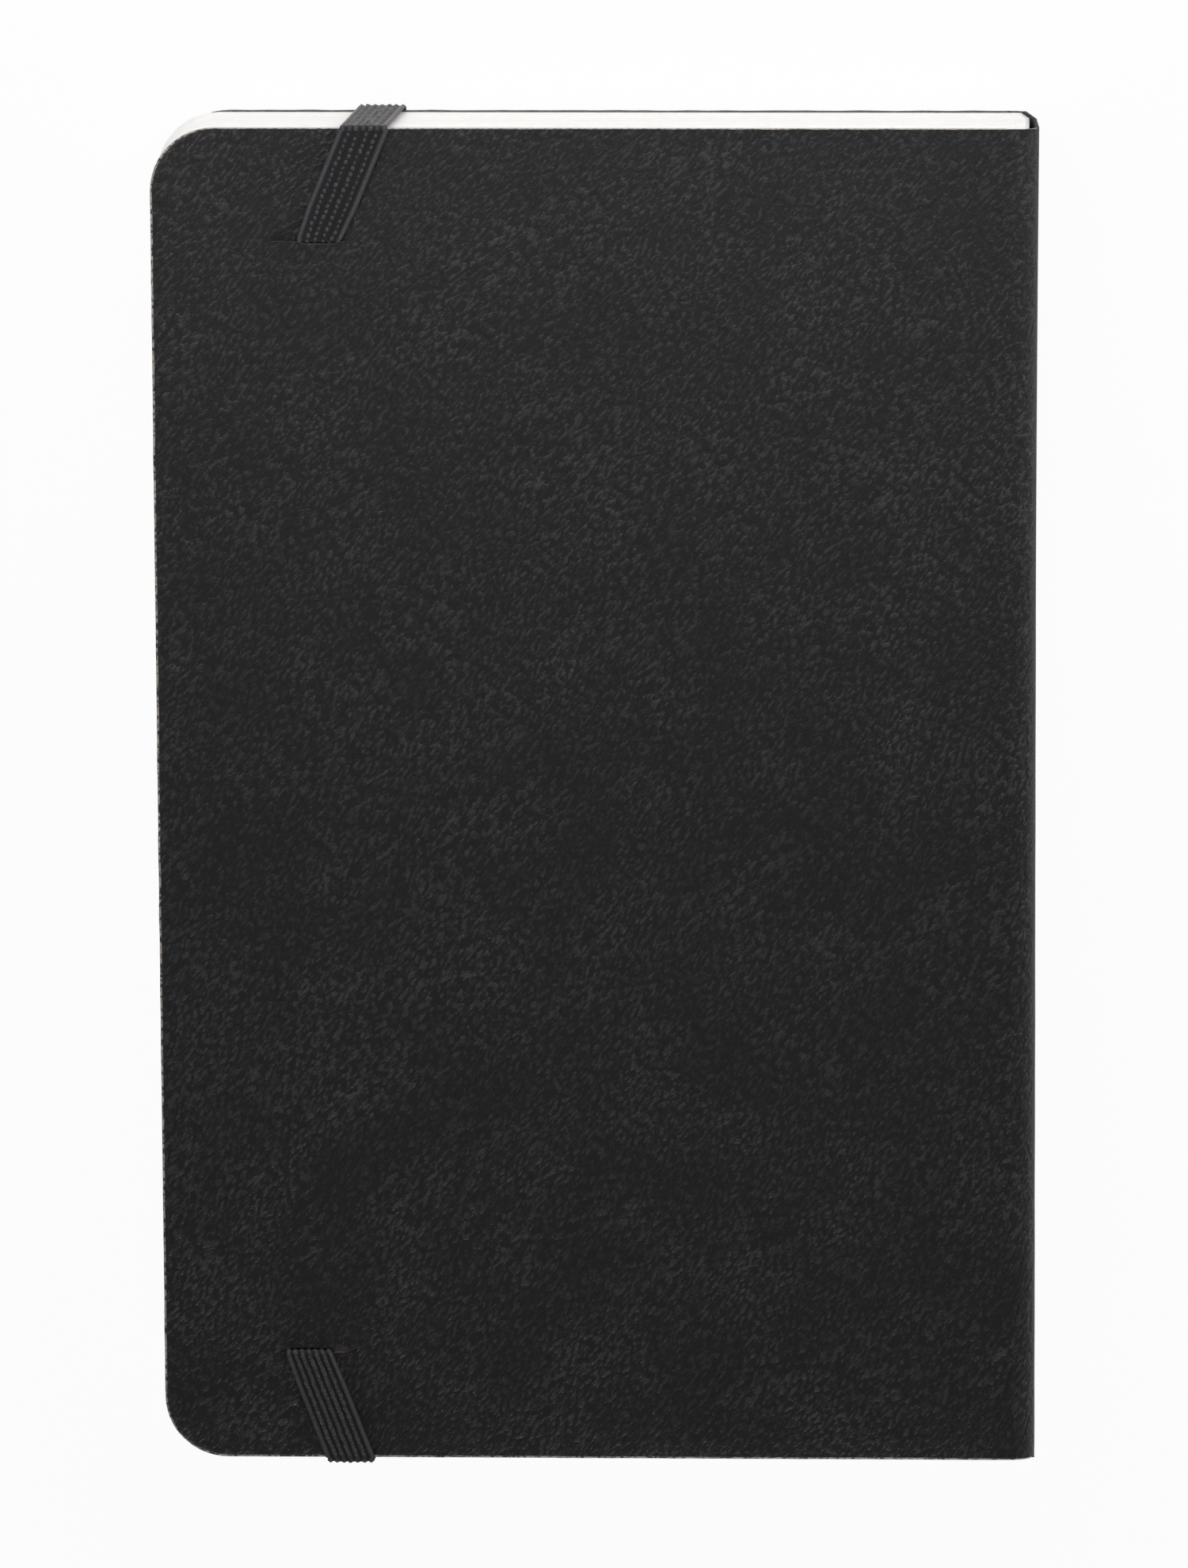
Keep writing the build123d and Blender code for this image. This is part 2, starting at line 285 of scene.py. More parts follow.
# Waxed linen thread: its twist mottles it every 0.3 mm or so.
THREAD = mottled("waxed_linen_thread", "#d5cfc0", "#f0ebde", 0.3, 0.03, 0.6)
ELASTIC = knitted_elastic()


# ================= sheets as closed meshes =================
def in_scene(name, data):
    """A new object with this data, linked into the scene."""
    made = bpy.data.objects.new(name, data)
    bpy.context.scene.collection.objects.link(made)
    return made


def object_from(name, vertices, faces, materials, face_materials=None, smooth=True):
    """A finished mesh object with its faces turned outwards."""
    mesh = bpy.data.meshes.new(name)
    mesh.from_pydata([tuple(v) for v in vertices], [], faces)
    for material in materials:
        mesh.materials.append(material)
    if face_materials is not None:
        mesh.polygons.foreach_set("material_index", face_materials)
    work = bmesh.new()
    work.from_mesh(mesh)
    bmesh.ops.recalc_face_normals(work, faces=work.faces)
    for face in work.faces:
        face.smooth = smooth
    # A cut edge stays crisp, and a bend stays round.
    for edge in work.edges:
        edge.smooth = edge.calc_face_angle(0) < CUT_ANGLE
    work.to_mesh(mesh)
    work.free()
    return in_scene(name, mesh)


def closed_sheet(name, outer, inner, materials, hole=None, film=0.35, smooth=True):
    """A sheet from two grids of points, walled all round and round any hole.

    A wall is the film's colour for its share of the depth. Below it the rim shows the last material, and a
    hole the middle one of three.
    """
    rows, columns, _ = outer.shape
    present = np.ones((rows - 1, columns - 1), bool) if hole is None else ~hole
    vertices = [tuple(p) for grid in (outer, inner) for p in grid.reshape(-1, 3)]
    count = rows * columns
    faces, kinds, between = [], [], {}

    def wall_point(index):
        if index not in between:
            between[index] = len(vertices)
            a, b = vertices[index], vertices[index + count]
            vertices.append(tuple(a[i] * (1 - film) + b[i] * film for i in range(3)))
        return between[index]

    def wall(a, b, at_rim):
        middle_a, middle_b = wall_point(a), wall_point(b)
        faces.append((a, b, middle_b, middle_a))
        kinds.append(0)
        faces.append((middle_a, middle_b, b + count, a + count))
        kinds.append(len(materials) - 1 if at_rim else len(materials) // 2)

    for row in range(rows - 1):
        for column in range(columns - 1):
            if not present[row, column]:
                continue
            a = row * columns + column
            b, c, d = a + 1, a + columns + 1, a + columns
            faces.append((a, b, c, d))
            kinds.append(0)
            faces.append((a + count, d + count, c + count, b + count))
            kinds.append(len(materials) - 1)
            if row == 0 or not present[row - 1, column]:
                wall(a, b, row == 0)
            if column == columns - 2 or not present[row, column + 1]:
                wall(b, c, column == columns - 2)
            if row == rows - 2 or not present[row + 1, column]:
                wall(c, d, row == rows - 2)
            if column == 0 or not present[row, column - 1]:
                wall(d, a, column == 0)
    used = sorted({i for face in faces for i in face})
    place = {old: new for new, old in enumerate(used)}
    faces = [tuple(place[i] for i in face) for face in faces]
    return object_from(name, [vertices[i] for i in used], faces, materials, kinds, smooth)


def stepped(stops, step):
    """Places from the first stop to the last, through each one, about a step apart."""
    places = [stops[0]]
    for start, end in zip(stops, stops[1:]):
        count = max(1, round((end - start) / step))
        places += [start + (end - start) * (i + 1) / count for i in range(count)]
    return np.array(places)


def height_rows(setback, step, stops=(), corner_steps=14, corner=CORNER_RADIUS):
    """Places along Y, closer together round the two corners."""
    radius = corner - setback
    straight = HALF_HEIGHT - setback - radius
    angles = [math.radians(90 * i / corner_steps) for i in range(1, corner_steps + 1)]
    turn = [straight + radius * math.sin(angle) for angle in angles]
    inner = stepped([-straight, *sorted(stops), straight], step)
    return np.array([-y for y in reversed(turn)] + list(inner) + turn)


def fore_side(y, setback, corner=CORNER_RADIUS):
    """Where the fore edge is at each Y, with its rounded corners."""
    radius = corner - setback
    into = np.clip(np.abs(y) - (HALF_HEIGHT - setback - radius), 0, radius)
    return FORE_EDGE + setback + radius - np.sqrt(np.maximum(radius**2 - into**2, 0))


def wander(x, y, size, seed):
    """Smooth noise between about -1 and 1, one value for each point."""
    values = [noise.noise(Vector((a / size, b / size, seed))) for a, b in zip(x.ravel(), y.ravel())]
    return np.array(values).reshape(x.shape)


# ================= cover skins =================
run_low, run_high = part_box("elastic_hidden_run")
BAND_WIDTH = 4.8 * MM
HEAD_SLOT_X = run_high.x - BAND_WIDTH / 2
FOOT_SLOT_X = run_low.x + BAND_WIDTH / 2
RIDGE_HEIGHT = 0.08 * MM  # the band's hidden run pressed through the skin
LIP_HEIGHT, LIP_REACH = 0.15 * MM, 0.85 * MM
SUNK_DEPTH, SUNK_REACH = 0.2 * MM, 0.7 * MM
EDGE_DROP, EDGE_REACH = 0.17 * MM, 5.0 * MM  # the cutting die pinches the skin down
BEVEL, BEVEL_REACH = 0.24 * MM, 1.5 * MM  # the film stops this far short of the cut, and backing shows
RAGGED, RAGGED_PITCH = 0.05 * MM, 2.2 * MM  # the die leaves the cut very slightly uneven


def skin_relief(x, y, seed, with_band):
    """How far the skin's face stands out from flat."""
    height = 0.035 * MM * wander(x, y, 19 * MM, seed)
    height += 0.014 * MM * wander(x, y, 5 * MM, seed + 3)
    # Long soft wrinkles lie where the noise passes through nought.
    wrinkle = np.abs(wander(x + 0.35 * y, y - 0.2 * x, 23 * MM, seed + 7))
    height -= 0.035 * MM * np.clip(1 - wrinkle / 0.07, 0, 1)
    if with_band:
        centre = FOOT_SLOT_X + (HEAD_SLOT_X - FOOT_SLOT_X) * (y + SLOT_Y) / (2 * SLOT_Y)
        aside = np.abs(x - centre)
        ridge = np.clip((BAND_WIDTH / 2 + 0.5 * MM - aside) / (0.9 * MM), 0, 1)
        ridge = ridge * ridge * (3 - 2 * ridge)
        ends = np.clip((SLOT_Y - np.abs(y)) / (0.4 * MM), 0, 1)
        height += RIDGE_HEIGHT * ridge * ends
        # The skin lifts into a lip where the band passes under it, and sinks on the slot's other side.
        along = np.clip(1.15 - np.abs(x - SLOT_X) / (SLOT_LENGTH / 2), 0, 1)
        for side in (1, -1):
            inside = side * (side * SLOT_Y - y)
            lip = np.exp(-((np.clip(inside, 0, None) / LIP_REACH) ** 2)) * (inside > 0)
            sunk = np.exp(-((np.clip(-inside, 0, None) / SUNK_REACH) ** 2)) * (inside <= 0)
            height += (LIP_HEIGHT * lip - SUNK_DEPTH * sunk) * np.minimum(along * 3, 1)
    # At the head the cut stays square; at the foot and fore edge the die pinches the skin down.
    to_fore, to_foot, to_head = x - fore_side(y, 0), HALF_HEIGHT + y, HALF_HEIGHT - y
    near = np.clip(1 - np.minimum(to_fore, to_foot) / EDGE_REACH, 0, 1) ** 3.0
    near *= np.clip(to_head / (3 * MM), 0.15, 1)
    return height - EDGE_DROP * near


def cover_skin(name, face, outwards, fold, shoulder, seed, with_slots, setback, corner, edge_stuff):
    """A cover's skin with the turn into the spine, from the fore edge to where the spine's strip starts."""
    slot_rows, slot_columns = [], []
    if with_slots:
        slot_rows = [side * SLOT_Y + edge * SLOT_WIDTH / 2 for side in (-1, 1) for edge in (-1, 1)]
        slot_columns = [SLOT_X - SLOT_LENGTH / 2, SLOT_X + SLOT_LENGTH / 2]
    y = height_rows(setback, GRID_STEP, slot_rows, corner=corner)
    turn_end = spine_x(y, face - outwards * fold)
    bend_start = turn_end.min() - shoulder
    flat = stepped([FORE_EDGE, *slot_columns, bend_start - 2 * MM, bend_start], GRID_STEP)
    turn = [math.radians(90 * i / TURN_STEPS) for i in range(1, TURN_STEPS + 1)]
    left = fore_side(y, setback, corner)
    outer = np.zeros((len(y), len(flat) + len(turn), 3))
    inner = np.zeros_like(outer)
    for row, (place_y, start) in enumerate(zip(y, left)):
        x = start + (flat - FORE_EDGE) * (bend_start - start) / (bend_start - FORE_EDGE)
        if abs(place_y) < HALF_HEIGHT - corner:
            x = np.maximum(flat, FORE_EDGE + setback)
        outer[row, : len(flat), 0] = x
        inner[row, : len(flat), 0] = x
        outer[row, :, 1] = inner[row, :, 1] = place_y
        for step, angle in enumerate(turn):
            column = len(flat) + step
            for grid, depth in ((outer, 0), (inner, SKIN)):
                reach = turn_end[row] - bend_start - depth
                grid[row, column, 0] = bend_start + reach * math.sin(angle)
                grid[row, column, 2] = face - outwards * (fold - (fold - depth) * math.cos(angle))
    relief = skin_relief(outer[:, : len(flat), 0], outer[:, : len(flat), 1], seed, with_slots)
    settle = np.clip((bend_start - outer[:, : len(flat), 0]) / (2 * MM), 0, 1)
    outer[:, : len(flat), 2] = face + outwards * relief * settle
    inner[:, : len(flat), 2] = face - outwards * SKIN
    if with_slots:
        # The bevel's width is taken up within its reach of the edge, so rows keep their order.
        shrink = 1 - BEVEL / BEVEL_REACH
        for axis, to_edge in ((0, outer[:, :, 0] - left[:, None]), (1, HALF_HEIGHT + outer[:, :, 1])):
            outer[:, :, axis] += np.where(to_edge < BEVEL_REACH, BEVEL + to_edge * shrink - to_edge, 0)
    for grid in (outer, inner):
        along_head = wander(grid[0, :, 0], grid[0, :, 1], RAGGED_PITCH, seed + 11)
        along_foot = wander(grid[-1, :, 0], grid[-1, :, 1], RAGGED_PITCH, seed + 13)
        along_fore = wander(grid[:, 0, 0], grid[:, 0, 1], RAGGED_PITCH, seed + 17)
        grid[0, :, 1] += RAGGED * along_head
        grid[-1, :, 1] += RAGGED * along_foot
        grid[:, 0, 0] += RAGGED * along_fore
    hole = None
    if with_slots:
        mid_y, mid_x = (y[:-1] + y[1:]) / 2, (flat[:-1] + flat[1:]) / 2
        in_y = np.abs(np.abs(mid_y) - SLOT_Y) < SLOT_WIDTH / 2
        in_x = np.abs(mid_x - SLOT_X) < SLOT_LENGTH / 2
        hole = np.zeros((len(y) - 1, len(flat) + len(turn) - 1), bool)
        hole[:, : len(mid_x)] = in_y[:, None] & in_x[None, :]
        # Each slot stands open round the band and closes to a slit beyond it; the foot's gapes by the band.
        x, head = outer[:, :, 0], outer[:, :, 1] > 0
        band_x = np.where(head, HEAD_SLOT_X, FOOT_SLOT_X)
        beyond = np.clip((np.abs(x - band_x) - BAND_WIDTH / 2 + 0.7 * MM) / (0.5 * MM), 0, 1)
        slit = np.where(head | (x < band_x), 0.08, 0.8)
        to_end = np.clip((SLOT_LENGTH / 2 - np.abs(x - SLOT_X)) / (1.2 * MM), 0.06, 1)
        from_slot = np.abs(outer[:, :, 1]) - SLOT_Y
        touching = np.where(from_slot < 0, 0.58, 1.0)
        opened = np.minimum(1 - beyond * (1 - slit), touching) * to_end
        at_edge = np.abs(np.abs(from_slot) - SLOT_WIDTH / 2) < 1e-6
        at_edge &= np.abs(x - SLOT_X) < SLOT_LENGTH / 2 + 1e-6
        pinch = np.where(at_edge, from_slot * (1 - opened), 0) * np.sign(outer[:, :, 1])
        outer[:, :, 1] -= pinch
        inner[:, :, 1] -= pinch
    # The slots' walls take the darker copy of the cut edge: painted shade.
    return closed_sheet(name, outer, inner, [LEATHER, SHADED_CUT_EDGE, edge_stuff], hole, film=0.12)


back_skin = cover_skin(
    "back_cover_leather", BACK_FACE, 1, BACK_FOLD, BACK_SHOULDER, 3.1, True, 0, CORNER_RADIUS, BACKING
)
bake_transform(back_skin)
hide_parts("back_cover_skin")

# The front cover's cut and the inside of its skin take the darker copy of the cut edge: painted shade.
front_skin = cover_skin(
    "front_cover_leather", FRONT_FACE, -1, FRONT_FOLD, FRONT_SHOULDER, 8.7, False,
    FRONT_SETBACK, FRONT_CORNER_RADIUS, SHADED_CUT_EDGE,
)
FRONT_TURN_X = float(spine_x(0, FRONT_FACE + FRONT_FOLD))
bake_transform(front_skin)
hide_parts("front_cover_skin")


def spine_skin():
    """The skin's strip over the spine, a little bowed, with its rows close together at the middle opening."""
    y = height_rows(0, GRID_STEP * 2)
    low, high = FRONT_FACE + FRONT_FOLD, BACK_FACE - BACK_FOLD
    z = np.concatenate([
        np.linspace(low, MIDDLE - 1.2 * MM, 8),
        np.linspace(MIDDLE - 1.2 * MM, MIDDLE + 1.2 * MM, 25)[1:-1],
        np.linspace(MIDDLE + 1.2 * MM, high, 10),
    ])
    outer = np.zeros((len(y), len(z), 3))
    outer[:, :, 1] = y[:, None]
    outer[:, :, 2] = z[None, :]
    inner = outer.copy()
    surface = 0.02 * MM * wander(outer[:, :, 1], outer[:, :, 2], 6 * MM, 21.5)
    surface *= np.clip(np.minimum(z - low, high - z) / (1.5 * MM), 0, 1)[None, :]
    face = spine_x(outer[:, :, 1], outer[:, :, 2])
    outer[:, :, 0] = face + surface
    inner[:, :, 0] = face - SKIN
    return closed_sheet("spine_leather", outer, inner, [LEATHER, DARK_BACKING])


spine_piece = spine_skin()
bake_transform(spine_piece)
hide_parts("front_spine_skin", "back_spine_skin")


def spine_layer(name, node, body, low_z, high_z, setback, outer_x, thickness, material):
    """A thin layer inside the spine, following its lean, that stops short of the head and foot."""
    y = stepped([-HALF_HEIGHT + setback, HALF_HEIGHT - setback], 4 * MM)
    z = np.linspace(low_z, high_z, 9)
    outer = np.zeros((len(y), len(z), 3))
    outer[:, :, 1], outer[:, :, 2] = y[:, None], z[None, :]
    inner = outer.copy()
    outer[:, :, 0] = np.array([outer_x(level) for level in z])[None, :]
    inner[:, :, 0] = outer[:, :, 0] - thickness
    piece = closed_sheet(name, outer, inner, [material], smooth=False)
    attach(piece, body)
    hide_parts(node)


def card_x(z):
    return float(spine_x(0, z)) - SKIN - 0.005 * MM


# The card stops short of the head and foot, and of the front where the leaves meet the skin.
spine_layer(
    "spine_card_front", "front_spine_board", "block_front", 4.4 * MM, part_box("front_spine_board")[1].z,
    2 * MM, card_x, SPINE_CARD, SHADED_CARD,
)
spine_layer(
    "spine_card_back", "back_spine_board", "block_back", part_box("back_spine_board")[0].z,
    BACK_FACE - BACK_FOLD, 2 * MM, card_x, SPINE_CARD, SHADED_CARD,
)
# The gauze over the folds stops well short of the head and foot.
for node, body in (("front_block_lining", "block_front"), ("back_block_lining", "block_back")):
    gauze_low, gauze_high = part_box(node)
    spine_layer(
        node.replace("block_lining", "gauze"), node, body, gauze_low.z, gauze_high.z,
        5 * MM, lambda z: fold_x(z) + 0.035 * MM, 0.03 * MM, GAUZE,
    )


def front_board():
    """The front cover's board, cut like its skin a little smaller than the back cover's."""
    low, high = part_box("front_cover_board")
    y = height_rows(FRONT_SETBACK, 5 * MM, corner=FRONT_CORNER_RADIUS)
    share = np.linspace(0, 1, 12)
    left = fore_side(y, FRONT_SETBACK, FRONT_CORNER_RADIUS)
    outer = np.zeros((len(y), len(share), 3))
    outer[:, :, 0] = left[:, None] + share[None, :] * (high.x - left[:, None])
    outer[:, :, 1] = y[:, None]
    inner = outer.copy()
    outer[:, :, 2], inner[:, :, 2] = low.z, high.z
    # Painted shade: the front board is the darker copy of the card.
    piece = closed_sheet("front_board_card", outer, inner, [SHADED_CARD], smooth=False)
    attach(piece, "front_cover")
    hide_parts("front_cover_board")


front_board()


# ================= endpapers =================
def folded_sheet(name, first, second, fold_x, bulge, thickness, material, arc_steps):
    """One sheet folded once; first and second are the middle levels of its two halves."""
    y = height_rows(PAGE_SETBACK, 5 * MM, corner_steps=8)
    left = fore_side(y, PAGE_SETBACK)
    flat = np.linspace(0, 1, 12)
    columns = 2 * len(flat) + arc_steps - 1
    centre_z, radius = (first + second) / 2, abs(second - first) / 2
    towards = 1 if second > first else -1
    outer = np.zeros((len(y), columns, 3))
    inner = np.zeros_like(outer)
    half = thickness / 2
    for row in range(len(y)):
        x = left[row] + flat * (fold_x - left[row])
        outer[row, :, 1] = inner[row, :, 1] = y[row]
        outer[row, : len(flat), 0] = inner[row, : len(flat), 0] = x
        outer[row, : len(flat), 2] = first - towards * half
        inner[row, : len(flat), 2] = first + towards * half
        outer[row, -len(flat) :, 0] = inner[row, -len(flat) :, 0] = x[::-1]
        outer[row, -len(flat) :, 2] = second + towards * half
        inner[row, -len(flat) :, 2] = second - towards * half
        for step in range(1, arc_steps):
            angle = math.pi * step / arc_steps
            column = len(flat) + step - 1
            for grid, reach in ((outer, radius + half), (inner, max(radius - half, 0.002 * MM))):
                grid[row, column, 0] = fold_x + (bulge + reach - radius) * math.sin(angle)
                grid[row, column, 2] = centre_z - towards * reach * math.cos(angle)
    return closed_sheet(name, outer, inner, [material])


def bridge_at_fold(sheet):
    """Bakes the sheet's placement into its mesh."""
    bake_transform(sheet)


def endpaper(name, fly, paste, cover, fold, bulge):
    """An endpaper: one half free beside the leaves, the other pasted to the cover."""
    fly_level, paste_level = (fly[0].z + fly[1].z) / 2, (paste[0].z + paste[1].z) / 2
    sheet = folded_sheet(name, fly_level, paste_level, fold, bulge, fly[1].z - fly[0].z, ENDPAPER, 6)
    if cover == "front_cover":
        bridge_at_fold(sheet)
    else:
        bridge_at_fold(sheet)
    return sheet


back_endpaper = endpaper(
    "back_endpaper", back_fly, back_paste, "back_cover", FOLD_LINE - 0.35 * MM, 0.2 * MM
)
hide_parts("back_flyleaf", "back_pastedown")
front_endpaper = endpaper(
    "front_endpaper", front_fly, front_paste, "front_cover",
    FRONT_TURN_X - SKIN - 0.4 * MM, 0.25 * MM,
)
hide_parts("front_flyleaf", "front_pastedown")


# ================= leaves =================
def node_group(name, **inputs):
    """A geometry node tree, the function that adds a node to it, and what it is given."""
    tree = bpy.data.node_groups.new(name, "GeometryNodeTree")
    for label, kind in inputs.items():
        label = label.replace("_", " ")
        tree.interface.new_socket(label, in_out="INPUT", socket_type="NodeSocket" + kind)
    tree.interface.new_socket("Geometry", in_out="OUTPUT", socket_type="NodeSocketGeometry")
    add = partial(add_node, tree)
    return tree, add, add("NodeGroupInput").outputs


def leaf_tree():
    """Geometry nodes: a stack of thin leaves, round at the fore edge, each a hair out of line."""
    tree, add, given = node_group(
        "stack_of_leaves", Width="Float", Height="Float", Corner_radius="Float", Leaf_thickness="Float",
        Leaf_pitch="Vector", Leaves="Int", First_leaf="Vector", Out_of_line="Vector", Seed="Int",
        Paper="Material",
    )
    outline = add(
        "GeometryNodeCurvePrimitiveQuadrilateral", {"Width": given["Width"], "Height": given["Height"]}
    )
    corner = add("ShaderNodeSeparateXYZ", {0: add("GeometryNodeInputPosition")})
    at_fore = add("ShaderNodeMath", {0: corner.outputs["X"], 1: 0.0}, operation="LESS_THAN")
    radius = add("ShaderNodeMath", {0: at_fore, 1: given["Corner radius"]}, operation="MULTIPLY")
    rounded = add("GeometryNodeFilletCurve", {"Curve": outline, "Radius": radius, "Count": 8}, mode="POLY")
    face = add("GeometryNodeFillCurve", {0: rounded}, mode="NGONS")
    raised_for_painted_light = add(
        "GeometryNodeExtrudeMesh",
        {"Mesh": face, "Offset Scale": given["Leaf thickness"], "Individual": False}, mode="FACES",
    )
    under = add("GeometryNodeFlipFaces", {0: face})
    join = add("GeometryNodeJoinGeometry")
    for half in (raised_for_painted_light, under):
        tree.links.new(half.outputs[0], join.inputs[0])
    leaf = add("GeometryNodeMergeByDistance", {"Geometry": join, "Distance": 0.001 * MM})
    line = add(
        "GeometryNodeMeshLine",
        {"Count": given["Leaves"], "Start Location": given["First leaf"], "Offset": given["Leaf pitch"]},
        mode="OFFSET",
    )
    stack = add("GeometryNodeInstanceOnPoints", {"Points": line, "Instance": leaf})
    back = add("ShaderNodeVectorMath", {0: given["Out of line"], "Scale": -1.0}, operation="SCALE")
    shift = add(
        "FunctionNodeRandomValue", {0: back, 1: given["Out of line"], "Seed": given["Seed"]},
        data_type="FLOAT_VECTOR",
    )
    placed = add("GeometryNodeTranslateInstances", {"Instances": stack, "Translation": shift})
    real = add("GeometryNodeRealizeInstances", {0: placed})
    done = add("GeometryNodeSetMaterial", {"Geometry": real, "Material": given["Paper"]})
    add("NodeGroupOutput", {0: done})
    return tree


def grown_mesh(tree, source, values):
    """Runs a node tree on a mesh and returns the result as a plain mesh."""
    carrier = in_scene("carrier", source)
    modifier = carrier.modifiers.new("grow", "NODES")
    modifier.node_group = tree
    sockets = {i.name: i.identifier for i in tree.interface.items_tree if i.in_out == "INPUT"}
    for name, value in values.items():
        modifier[sockets[name]] = value
    bpy.context.view_layer.update()
    graph = bpy.context.evaluated_depsgraph_get()
    mesh = bpy.data.meshes.new_from_object(carrier.evaluated_get(graph), depsgraph=graph)
    carrier.modifiers.clear()
    bpy.data.objects.remove(carrier)
    return mesh


def sheet_folds(fold_centre, level, sheets, step_count=8):
    """Nested half tubes: the folded backs of the sheets in one section, as vertices and faces."""
    vertices, faces = [], []
    half = HALF_HEIGHT - PAGE_SETBACK
    for sheet in range(sheets):
        inside = 0.005 * MM + sheet * LEAF_PITCH
        start = len(vertices)
        for y in (-half, half):
            for radius in (inside, inside + LEAF):
                for step in range(step_count + 1):
                    angle = math.pi * step / step_count - math.pi / 2
                    across, up = radius * math.cos(angle), radius * math.sin(angle)
                    vertices.append((fold_centre + across, y, level + up))
        ring = step_count + 1
        low_in, low_out, high_in, high_out = (start + ring * i for i in range(4))
        for i in range(step_count):
            faces.append((low_out + i, low_out + i + 1, high_out + i + 1, high_out + i))
            faces.append((low_in + i + 1, low_in + i, high_in + i, high_in + i + 1))
            faces.append((low_in + i, low_in + i + 1, low_out + i + 1, low_out + i))
            faces.append((high_in + i + 1, high_in + i, high_out + i, high_out + i + 1))
        faces.append((low_in, low_out, high_out, high_in))
        faces.append((low_out + step_count, low_in + step_count, high_in + step_count, high_out + step_count))
    return vertices, faces


leaves = leaf_tree()


def section(number, body):
    """One sewn section: eight leaves and the folds that join them in pairs."""
    low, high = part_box(f"section_{number:02d}")
    middle_level = (low.z + high.z) / 2
    fold_centre = fold_x(middle_level) - SHEETS_PER_SECTION * LEAF_PITCH
    # The two leaves that face each other at the middle opening are made apart.
    first = 1 if number == 7 else 0
    leaf_count = 2 * SHEETS_PER_SECTION - (1 if number in (6, 7) else 0)
    start_z = middle_level - SHEETS_PER_SECTION * LEAF_PITCH + 0.005 * MM + first * LEAF_PITCH
    mesh = grown_mesh(leaves, bpy.data.meshes.new("empty"), {
        "Width": fold_centre - low.x, "Height": 2 * (HALF_HEIGHT - PAGE_SETBACK),
        "Corner radius": CORNER_RADIUS - PAGE_SETBACK, "Leaf thickness": LEAF,
        "Leaf pitch": (0, 0, LEAF_PITCH), "Leaves": leaf_count,
        "First leaf": ((low.x + fold_centre) / 2, 0, start_z), "Out of line": (0.04 * MM, 0.03 * MM, 0),
        "Seed": number, "Paper": BOOK_PAPER,
    })
    piece = in_scene(f"section_{number:02d}_sheets", mesh)
    vertices, faces = sheet_folds(fold_centre, middle_level, SHEETS_PER_SECTION)
    work = bmesh.new()
    work.from_mesh(mesh)
    made = [work.verts.new(v) for v in vertices]
    for face in faces:
        work.faces.new([made[i] for i in face])
    bmesh.ops.recalc_face_normals(work, faces=work.faces)
    work.to_mesh(mesh)
    work.free()
    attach(piece, body)
    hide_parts(f"section_{number:02d}")


for number in range(1, 13):
    section(number, "block_front" if number <= 6 else "block_back")

# The two leaves that face each other at the middle opening, joined across the gutter.
section_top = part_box("section_06")[1].z - LEAF / 2
section_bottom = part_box("section_07")[0].z + LEAF / 2
spread = folded_sheet(
    "middle_spread", section_top, section_bottom, fold_x(MIDDLE) - SHEETS_PER_SECTION * LEAF_PITCH,
    0.1 * MM, LEAF, BOOK_PAPER, 1,
)
bridge_at_fold(spread)


# ================= elastic band =================
BAND = 0.5 * MM
HALF_BAND = BAND_WIDTH / 2
band_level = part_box("elastic_head_tail")[1].z - BAND / 2
front_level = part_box("elastic_front_span")[0].z + BAND / 2
wrap_low, wrap_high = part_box("elastic_head_wrap")
foot_low, foot_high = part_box("elastic_foot_wrap")
WRAP_Y = wrap_high.y - BAND / 2
HEAD_BACK_X, HEAD_FRONT_X = sorted((wrap_low.x + HALF_BAND, wrap_high.x - HALF_BAND))
FOOT_BACK_X, FOOT_FRONT_X = sorted((foot_low.x + HALF_BAND, foot_high.x - HALF_BAND))


def rounded_route(corners, radii, step):
    """Points along straight runs, with each corner turned smoothly."""
    points = []
    for i, corner in enumerate(corners):
        corner = Vector(corner)
        if i in (0, len(corners) - 1):
            points.append(corner)
            continue
        before = corner + (Vector(corners[i - 1]) - corner).normalized() * radii[i]
        after = corner + (Vector(corners[i + 1]) - corner).normalized() * radii[i]
        for j in range(9):
            t = j / 8
            points.append(before * (1 - t) ** 2 + corner * 2 * t * (1 - t) + after * t**2)
    even = [points[0]]
    for point in points[1:]:
        gap = (point - even[-1]).length
        pieces = max(1, round(gap / step))
        base = even[-1].copy()
        even += [base.lerp(point, (j + 1) / pieces) for j in range(pieces)]
    return even


def band_frames(route, side):
    """For each point of a route: its place, its direction, the way out of the band and the way across it.

    The band lies aslant but its ends are square to the notebook, so its width is always measured along X.
    Side is -1 for a route that runs towards the foot on the back, and keeps its outer face outwards.
    """
    frames = []
    for i, point in enumerate(route):
        ahead, behind = route[min(i + 1, len(route) - 1)], route[max(i - 1, 0)]
        along = (ahead - behind).normalized()
        across = Vector((side, 0, 0))
        widening = 1 / math.sqrt(max(1 - along.x**2, 0.25))
        frames.append((point, along, across.cross(along).normalized(), across * widening))
    return frames


# The band's section: a thick cord at each edge and a thinner web between them.
EDGE_CORD = HALF_BAND - 0.28 * MM
WEB_REACH = EDGE_CORD - 0.35 * MM  # half the width that carries the ribs
WEB_RISE = 0.06 * MM


